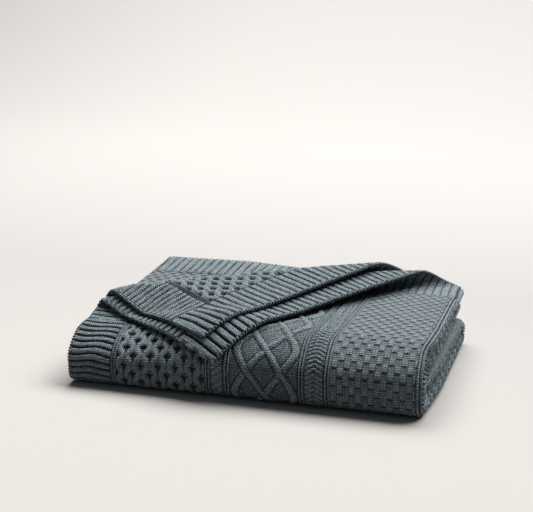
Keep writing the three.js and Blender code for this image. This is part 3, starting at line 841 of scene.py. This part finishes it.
def face_surface(face, box, edges, relief, public):
    low_u, high_u, low_v, high_v = box
    gaps = [face.u - low_u, high_u - face.u, face.v - low_v, high_v - face.v]
    profile = np.ones_like(face.u)
    raised = relief(face.u, face.v, public)
    moved = [face.u.copy(), face.v.copy()]
    for side, (gap, edge) in enumerate(zip(gaps, edges)):
        profile = np.minimum(profile, edge_profile(gap, edge["radius"], edge["least"]))
        if edge is EDGES["free"]:
            along = face.v if side < 2 else face.u
            raised = with_chain(raised, gap, along)
            outwards = 1 if side % 2 else -1
            near = np.clip(1 - gap / CHAIN["reach"], 0, 1)
            moved[side // 2] += outwards * (CHAIN["bulge"] * chain_beads(along)) * near
    raised = raised * shows(face.u, face.v, public)
    away = (THICKNESS / 2 + raised) * profile * (1 if public else -1)
    points = settle(place(*moved) + facing(face.u, face.v) * away[:, None])
    # How deep the point lies, 0 in the deepest groove and 1 on top: the yarn's material paints
    # shade from it
    height = raised * profile - (1 - profile) * DEPTH["edge"]
    return points, np.clip((height + DEPTH["darkest"]) / DEPTH["range"], 0, 1)


# %% The wall between the rims of the two faces
def rim_wall(faces, box):
    low_u, high_u, low_v, high_v = box
    u, v = faces[0].rim(*box)
    corners = [(low_u, low_v), (high_u, low_v), (high_u, high_v), (low_u, high_v)]
    places = []
    for (ua, va), (ub, vb) in zip(corners, corners[1:] + corners[:1]):
        length = math.hypot(ub - ua, vb - va)
        along = ((u - ua) * (ub - ua) + (v - va) * (vb - va)) / length
        off = np.abs((u - ua) * (vb - va) - (v - va) * (ub - ua)) / length
        side = np.nonzero((off < TOUCHING) & (along < length - TOUCHING))[0]
        places += [(u[i], v[i]) for i in side[np.argsort(along[side])]]
    u, v = np.array(places).T
    top = faces[0].find(u, v)
    bottom = faces[1].find(u, v) + len(faces[0].u)
    return np.stack([top, np.roll(top, -1), np.roll(bottom, -1), bottom], -1).tolist()


# %% Smooth objects, and knitted ones, which take millimetres and lie where the frame has them
MIDDLE = (0.23, 4.34)


def in_scene(name, data):
    thing = bpy.data.objects.new(name, data)
    bpy.context.collection.objects.link(thing)
    return thing


def smooth_object(name, points, polygons):
    mesh = bpy.data.meshes.new(name)
    mesh.from_pydata(points, [], polygons)
    mesh.update()
    mesh.polygons.foreach_set("use_smooth", np.ones(len(polygons), bool))
    return in_scene(name, mesh)


def knit_object(name, points, uv, hollow, polygons):
    points = (points - np.array([*MIDDLE, 0])) * MM
    points[:, 2] = np.clip(points[:, 2], 0, None)    # no stitch sinks into the floor
    piece = smooth_object(name, points, polygons)
    mesh = piece.data
    loops = np.empty(len(mesh.loops), int)
    mesh.loops.foreach_get("vertex_index", loops)
    mesh.uv_layers.new(name="open_throw").data.foreach_set("uv", (uv[loops] * MM).ravel())
    mesh.attributes.new("hollow", "FLOAT", "POINT").data.foreach_set("value", hollow)
    triangles = len(mesh.loops) - 2 * len(polygons)
    print(f"{name}: {len(points)} points, {triangles} triangles")
    return piece


# %% A knitted sheet: two faces and the wall between their rims
def knit_sheet(name, box, free, relief, stitch_cells, stops=(), columns_along_v=True):
    edges = [EDGES["free" if loose else "sewn"] for loose in free]
    edge_tiles = [edge["tile"] for edge in edges]
    lines_u = borders(box[0], box[1], [*U_START[1:-1], *stops], edge_tiles[:2])
    lines_v = borders(box[2], box[3], V_START[1:-1], edge_tiles[2:])
    faces = [Face(cells_of(lines_u, lines_v, public, stitch_cells)) for public in (True, False)]
    rims = [face.rim(*box) for face in faces]
    for face, rim in zip(faces, reversed(rims)):
        face.add(*rim)
    surfaces = [face_surface(face, box, edges, relief, public)
                for face, public in zip(faces, (True, False))]
    points, hollows = [np.concatenate(part) for part in zip(*surfaces)]
    uvs = [np.stack([face.u, face.v] if columns_along_v else [face.v, face.u], -1)
           for face in faces]
    outer, inner = faces
    polygons = [corners[::-1] for corners in outer.polygons()]
    polygons += [[corner + len(outer.u) for corner in corners] for corners in inner.polygons()]
    polygons += rim_wall(faces, box)
    return knit_object(name, points, np.concatenate(uvs), hollows, polygons)


# %% [markdown]
# ## The five knitted pieces
#
# The panel is sewn in all round. Its tiles also start where its figures do, counted from either
# side edge, because both halves of the throw have the same panels.

# %% The panel
def panel_faces(u, v, public):
    return panel_relief(u, v) if public else np.zeros_like(u)


sewn_ends = (END_BAND + SEAM, WIDTH - END_BAND - SEAM)
panel_box = (SIDE_BAND + SEAM, LENGTH - SIDE_BAND - SEAM, *sewn_ends)
panel_starts = [start for _, start, _ in PANELS[1:]]
panel_stops = panel_starts + [LENGTH - start for start in panel_starts]
panel = knit_sheet("aran_knit", panel_box, (0, 0, 0, 0), panel_faces, panel_cells, panel_stops)

# %% [markdown]
# The ribs of the side bands run across them, so they lie level on the front fold. The real band
# is a little loose there, and its ribs wave more than anywhere else.

# %% The bands along the sides, with one free edge each
SLACK = {"most": 1.9, "from": 40, "length_u": 8.0, "length_v": 33.0}
RIB_CELLS = {"along": 4.5, "side": 0.8, "end": 0.9}
FREE_TILE = EDGES["free"]["tile"]


def side_ribs(u, v, public):
    from_v = V_START[1] - SLACK["from"]
    down_front = np.clip((v - from_v) / (V_START[2] - from_v), 0, 1)
    waving = np.sin(u / SLACK["length_u"] + v / SLACK["length_v"])
    slack = SLACK["most"] * np.sin(math.pi * down_front) * waving
    return ribs(v + sway(u + SWAY_LEAN * v) + slack, RIB_PITCH["side"])


def side_cells(u, v):
    near = np.minimum(u, LENGTH - u) < FREE_TILE
    return np.array([np.where(near, EDGE_CELL, RIB_CELLS["along"]),
                     np.full_like(v, RIB_CELLS["side"])])


side_outer = knit_sheet("side_band_outer_knit", (0, SIDE_BAND, *sewn_ends), (1, 0, 0, 0),
                        side_ribs, side_cells, columns_along_v=False)
side_inner = knit_sheet("side_band_inner_knit", (LENGTH - SIDE_BAND, LENGTH, *sewn_ends),
                        (0, 1, 0, 0), side_ribs, side_cells, columns_along_v=False)

# %% [markdown]
# The end bands run over the whole length of the throw, past the ends of the side bands, and
# three of their four edges are free. On the outer layer their ribs are pressed flatter.

# %% The bands along the ends
PRESSED = 0.4


def end_ribs(u, v, public):
    pressed = public & (fold_across(u)[2] == LOWER["run"])
    raised = ribs(u + sway(v + SWAY_LEAN * u), RIB_PITCH["end"])
    return raised * np.where(pressed, PRESSED, 1)


def end_cells(u, v):
    near = np.minimum(v, WIDTH - v) < FREE_TILE
    return np.array([np.full_like(u, RIB_CELLS["end"]),
                     np.where(near, EDGE_CELL, RIB_CELLS["along"])])


end_outer = knit_sheet("end_band_outer_knit", (0, LENGTH, 0, END_BAND), (1, 1, 1, 0),
                       end_ribs, end_cells)
end_inner = knit_sheet("end_band_inner_knit", (0, LENGTH, WIDTH - END_BAND, WIDTH), (1, 1, 0, 1),
                       end_ribs, end_cells)

# %% [markdown]
# ## Yarn
#
# Shader maths is written as Python expressions on sockets. The small class below adds the node
# that an operator stands for, and its method node adds any other kind of node. A Mix node has
# inputs for numbers, vectors and colours, of which 0 is the factor and 6 and 7 are the colours.

# %% Sockets that can be added and multiplied
class Socket:
    def __init__(self, tree, link=None):
        self.tree = tree
        self.link = link

    def feed(self, socket):
        self.tree.links.new(self.link, socket)

    def output(self, name):
        return Socket(self.tree, self.link.node.outputs[name])

    def node(self, kind, settings=None, values=None, output=0):
        node = self.tree.nodes.new(kind)
        for name, value in (settings or {}).items():
            setattr(node, name, value)
        for name, value in (values or {}).items():
            if isinstance(value, Socket):
                value.feed(node.inputs[name])
            else:
                node.inputs[name].default_value = value
        return Socket(self.tree, node.outputs[output])

    def math(self, operation, *others):
        return self.node("ShaderNodeMath", {"operation": operation},
                         dict(enumerate((self, *others))))

    def __add__(self, other):
        return self.math("ADD", other)

    def __sub__(self, other):
        return self.math("SUBTRACT", other)

    def __mul__(self, other):
        return self.math("MULTIPLY", other)

    def __truediv__(self, other):
        return self.math("DIVIDE", other)

    def __pow__(self, other):
        return self.math("POWER", other)

    def __rsub__(self, other):
        return (self * -1) + other

    def between(self, low, high):
        return self.math("MAXIMUM", low).math("MINIMUM", high)

    def mixed(self, first, second):
        return self.node("ShaderNodeMix", {"data_type": "RGBA", "clamp_factor": True},
                         {0: self, 6: (*first, 1), 7: (*second, 1)}, output=2)

    __radd__ = __add__
    __rmul__ = __mul__


# %% A new material, whose values that are the same all over are set at once
def set_values(node, values):
    for socket, value in values.items():
        node.inputs[socket].default_value = value


def new_material(name, surface):
    material = bpy.data.materials.new(name)
    material.use_nodes = True
    shader = material.node_tree.nodes["Principled BSDF"]
    set_values(shader, surface)
    return material, shader, Socket(material.node_tree)


# %% [markdown]
# The single stitches are too small for the mesh. Each one is a V of two slanting legs, in
# columns that follow the knit, so their height is worked out from the open throw's coordinates
# and feeds a Bump node. No two legs of a real knit catch the light alike, so each leg has a
# shade of its own.

# %% One stitch
STITCH = {"width": 3.75 * MM, "height": 3.0 * MM, "slant": 0.7, "bluntness": 0.6}
OWN_SHADE = {"spread": 0.8, "least": 0.65}


def stitches(u, v):
    x = u / STITCH["width"]
    across = ((x.math("FRACT") - 0.5) * 2).math("ABSOLUTE")
    along = v / STITCH["height"] + across * STITCH["slant"]
    leg = (along.math("FRACT") * math.pi).math("SINE")
    cap = (across * math.pi).math("SINE") ** STITCH["bluntness"]
    which = u.node("ShaderNodeCombineXYZ",
                   values={"X": (x * 2).math("FLOOR"), "Y": along.math("FLOOR")})
    own = u.node("ShaderNodeTexWhiteNoise", values={"Vector": which})
    return leg * cap, own * OWN_SHADE["spread"] + OWN_SHADE["least"]


print(f"a stitch, mm: {STITCH['width'] / MM:.2f} wide and {STITCH['height'] / MM:.2f} high")

# %% [markdown]
# In basket stitch a block has a gap above it, where the yarn dives from the front to the back of
# the knit, and a thin shadow down each side. Both are painted shade in the colour, and both sink
# in the bump.

# %% Gaps of the basket stitch, from the place on the open throw in millimetres
BASKET_GAP = {"dash": 1.8, "dash_ends": 1.0, "outline": 1.0, "outline_depth": 0.5,
              "sharpness": 1.6}


def basket_gaps(u, v):
    from_edge = u.math("MINIMUM", LENGTH - u)
    x = (from_edge - basket_starts[0]) / BASKET["column"]
    y = (v - BASKET["first_row"]) / BASKET["row"] + x.math("FLOOR")
    from_side = (0.5 - (x.math("FRACT") - 0.5).math("ABSOLUTE")) * BASKET["column"]
    from_gap = ((y * 0.5 + 0.5).math("FRACT") - 0.5).math("ABSOLUTE") * (2 * BASKET["row"])
    dash = (1.0 - from_gap / BASKET_GAP["dash"]).math("MAXIMUM", 0.0)
    dash = dash * (from_side / BASKET_GAP["dash_ends"]).math("MINIMUM", 1.0)
    outline = (1.0 - from_side / BASKET_GAP["outline"]).math("MAXIMUM", 0.0)
    outline = outline * BASKET_GAP["outline_depth"]
    in_first = from_edge.math("GREATER_THAN", basket_starts[0])
    in_first = in_first * from_edge.math("LESS_THAN", basket_ends[0])
    inside = in_first + from_edge.math("GREATER_THAN", basket_starts[1])
    dash = (dash * BASKET_GAP["sharpness"]).math("MINIMUM", 1.0)
    return dash.math("MAXIMUM", outline) * inside


print(f"gap over a block of basket stitch, mm: {2 * BASKET_GAP['dash']:.1f} high")

# %% [markdown]
# The throw is a slate blue-grey cotton yarn, matt, with a little fuzz that lights up at grazing
# angles. Little light gets out from between the stitches and from the grooves, so there the
# colour is painted nearly black, as painted shade that follows the stitches and the depth of
# the mesh. Its shade also varies a little from place to place. One flat colour under the same
# bumps would look like clay.

# %% The yarn's material
# light is the yarn's own colour; dark is the painted shade in its grooves, gaps and between
# stitches
YARN = {"light": (0.268, 0.346, 0.384), "dark": (0.0050, 0.0085, 0.0120)}
YARN_SURFACE = {"Roughness": 0.92, "Specular IOR Level": 0.25,
                "Sheen Weight": 0.15, "Sheen Roughness": 0.45}
FUZZ = {"Scale": 1400.0, "Detail": 3.0, "Roughness": 0.6}
PATCHES = {"Scale": 22.0, "Detail": 2.0, "Roughness": 0.5}
HEIGHTS = {"fuzz": 0.35, "gap": 1.5, "distance": 1.5 * MM}
SHADES = {"groove_power": 2.0, "stitch_power": 1.5, "stitch": 0.95, "ground": 0.12,
          "fuzz": 0.14, "patches": 0.1, "gap": 0.9}


def yarn_material(name, has_basket=False):
    material, shader, tree = new_material(name, YARN_SURFACE)
    uv = tree.node("ShaderNodeUVMap", {"uv_map": "open_throw"})
    u = tree.node("ShaderNodeSeparateXYZ", values={"Vector": uv})
    v = u.output("Y")
    stitch, own_shade = stitches(u, v)
    fuzz = tree.node("ShaderNodeTexNoise", values={"Vector": uv, **FUZZ})
    patches = tree.node("ShaderNodeTexNoise", values={"Vector": uv, **PATCHES})
    lift = tree.node("ShaderNodeAttribute", {"attribute_name": "hollow"}, output="Fac")
    height = stitch + fuzz * HEIGHTS["fuzz"]
    if has_basket:
        gaps = basket_gaps(u / MM, v / MM)
        # painted shade: the gaps and the thin shadows down the blocks' sides darken the colour
        lift = lift * (1.0 - gaps * SHADES["gap"])
        height = height - gaps * HEIGHTS["gap"]
    # Painted shade: the colour falls towards the dark one in the mesh's grooves and between the
    # stitch legs
    on_stitch = stitch ** SHADES["stitch_power"] * SHADES["stitch"] + SHADES["ground"]
    shade = lift ** SHADES["groove_power"] * own_shade * on_stitch + fuzz * SHADES["fuzz"]
    shade = shade + patches * SHADES["patches"] - SHADES["patches"]
    shade.mixed(YARN["dark"], YARN["light"]).feed(shader.inputs["Base Color"])
    raised = tree.node("ShaderNodeBump", values={
        "Height": height, "Distance": HEIGHTS["distance"], "Strength": 1.0})
    raised.feed(shader.inputs["Normal"])
    print(f"{name}: {len(material.node_tree.nodes)} nodes")
    return material


yarn = yarn_material("slate_cotton_yarn")
panel_yarn = yarn_material("slate_cotton_yarn_in_basket_stitch", has_basket=True)

# %% [markdown]
# Each sheet stands for one solid of the imported model, which it replaces to the eye, and says
# the flat size that it was knitted to.

# %% Dress the pieces, hang them from the root and hide the solids that they stand for
SHEETS = [
    (panel, "aran_panel", (panel_box[1] - panel_box[0], panel_box[3] - panel_box[2])),
    (side_outer, "side_band_outer", (SIDE_BAND, sewn_ends[1] - sewn_ends[0])),
    (side_inner, "side_band_inner", (SIDE_BAND, sewn_ends[1] - sewn_ends[0])),
    (end_outer, "end_band_outer", (END_BAND, LENGTH)),
    (end_inner, "end_band_inner", (END_BAND, LENGTH)),
]
for piece, node, (width, length) in SHEETS:
    piece.data.materials.append(panel_yarn if node == "aran_panel" else yarn)
    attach(piece, "root")
    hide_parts(node)
    width * MM
    length * MM
    print(f"{piece.name}: knitted {width:.0f} x {length:.0f} mm")

# %% [markdown]
# ## Studio
#
# The pack lies on pale matt paper that sweeps up into a wall, so that no line shows behind it.
# Its colour is painted a little lighter towards the front and the left, as painted light that
# the lamps alone don't give there. White paper would turn the whole wall to plain white under
# the light that the pack needs.

# %% Floor and wall in one sweep
FLOOR = {"half_width": 6.0, "front": -5.0, "bend": 1.6, "radius": 1.4, "top": 5.0,
         "under": 0.0004, "steps": 16}


def sweep():
    angles = np.linspace(0, math.pi / 2, FLOOR["steps"] + 1)
    bend_y = FLOOR["bend"] + FLOOR["radius"] * np.sin(angles)
    bend_z = FLOOR["radius"] * (1 - np.cos(angles))
    line = [(FLOOR["front"], 0), *zip(bend_y, bend_z), (float(bend_y[-1]), FLOOR["top"])]
    points = [(x, y, z - FLOOR["under"]) for y, z in line
              for x in (-FLOOR["half_width"], FLOOR["half_width"])]
    faces = [(2 * i, 2 * i + 1, 2 * i + 3, 2 * i + 2) for i in range(len(line) - 1)]
    return smooth_object("floor", points, faces)


floor = sweep()
print("floor:", len(floor.data.polygons), "strips")

# %% Paper of the floor, with painted light that is lighter to the front and the left
PAPER_UNDER_PAINTED_LIGHT = {"far": (0.250, 0.245, 0.239), "near": (0.410, 0.392, 0.374)}
PAPER_SURFACE = {"Roughness": 1.0, "Specular IOR Level": 0.0}
TO_FRONT = {"from_y": 0.35, "length": 0.95, "share": 0.75}
TO_LEFT = {"middle": 0.5, "per_metre": 0.6, "share": 0.25}

paper, paper_shader, paper_tree = new_material("pale_paper_with_painted_light", PAPER_SURFACE)
spot = paper_tree.node("ShaderNodeTexCoord", output="Object")
spot_x = paper_tree.node("ShaderNodeSeparateXYZ", values={"Vector": spot})
to_front = ((TO_FRONT["from_y"] - spot_x.output("Y")) / TO_FRONT["length"]).between(0.0, 1.0)
to_left = (TO_LEFT["middle"] - TO_LEFT["per_metre"] * spot_x).between(0.0, 1.0)
# painted light: how far the paper's colour moves from the far shade to the lighter near one
painted_light_share = to_front * TO_FRONT["share"] + to_left * TO_LEFT["share"]
painted_light_share.mixed(PAPER_UNDER_PAINTED_LIGHT["far"], PAPER_UNDER_PAINTED_LIGHT["near"]).feed(paper_shader.inputs["Base Color"])
floor.data.materials.append(paper)
print("paper:", len(paper.node_tree.nodes), "nodes")

# %% [markdown]
# One broad soft light stands above and behind the pack, so its top is light and its front
# darker, with a soft shadow under it. A weak second light lifts the wall, and a dim bluish sky
# fills the shadows. The denoiser's prefilter takes small stitches for noise, so it is off.

# %% Lights, sky and picture settings
WARM_WHITE = (1, 0.99, 0.975)
LIGHTS = [
    {"name": "overhead", "at": (0.35, 1.7, 2.9), "aim": (0, 0, 0), "size": (4.4, 2.2),
     "power": 450},
    {"name": "backdrop", "at": (0, 1.0, 3.6), "aim": (0, 3.2, 0.4), "size": (5.0, 1.0),
     "power": 24},
]
SKY = {"Color": (0.84, 0.93, 1.0, 1), "Strength": 0.13}


def area_light(row):
    light = bpy.data.lights.new(row["name"], "AREA")
    light.shape = "RECTANGLE"
    light.size, light.size_y = row["size"]
    light.energy = row["power"]
    light.color = WARM_WHITE
    lamp = in_scene(row["name"], light)
    lamp.location = row["at"]
    away = lamp.location - Vector(row["aim"])
    lamp.rotation_euler = away.to_track_quat("Z", "Y").to_euler()


for row in LIGHTS:
    area_light(row)
world = bpy.data.worlds.new("studio")
world.use_nodes = True
set_values(world.node_tree.nodes["Background"], SKY)
bpy.context.scene.world = world
bpy.context.scene.view_settings.view_transform = "Standard"
bpy.context.scene.cycles.denoising_prefilter = "NONE"
print("lights:", [row["name"] for row in LIGHTS])

# %% [markdown]
# The camera's place, direction and lens were found by fitting the folds, the turned corner and
# the outlines of the pack to the photograph, 533 pixels wide.

# %% Camera
CAMERA = {"place": (517.93, -1658.43, 579.09), "azimuth": 17.89, "elevation": 14.21,
          "focal_pixels": 1400.0, "photo_width": 533.0, "sensor": 36, "clip": (0.05, 30)}
camera_data = bpy.data.cameras.new("camera")
camera = in_scene("camera", camera_data)
camera.location = [(at - middle) * MM for at, middle in zip(CAMERA["place"], (*MIDDLE, 0))]
camera.rotation_euler = (math.radians(90 - CAMERA["elevation"]), 0, math.radians(CAMERA["azimuth"]))
camera_data.sensor_fit = "HORIZONTAL"
camera_data.sensor_width = CAMERA["sensor"]
camera_data.lens = CAMERA["focal_pixels"] / CAMERA["photo_width"] * CAMERA["sensor"]
camera_data.clip_start, camera_data.clip_end = CAMERA["clip"]
bpy.context.scene.camera = camera
print(f"lens: {camera_data.lens:.0f} mm")
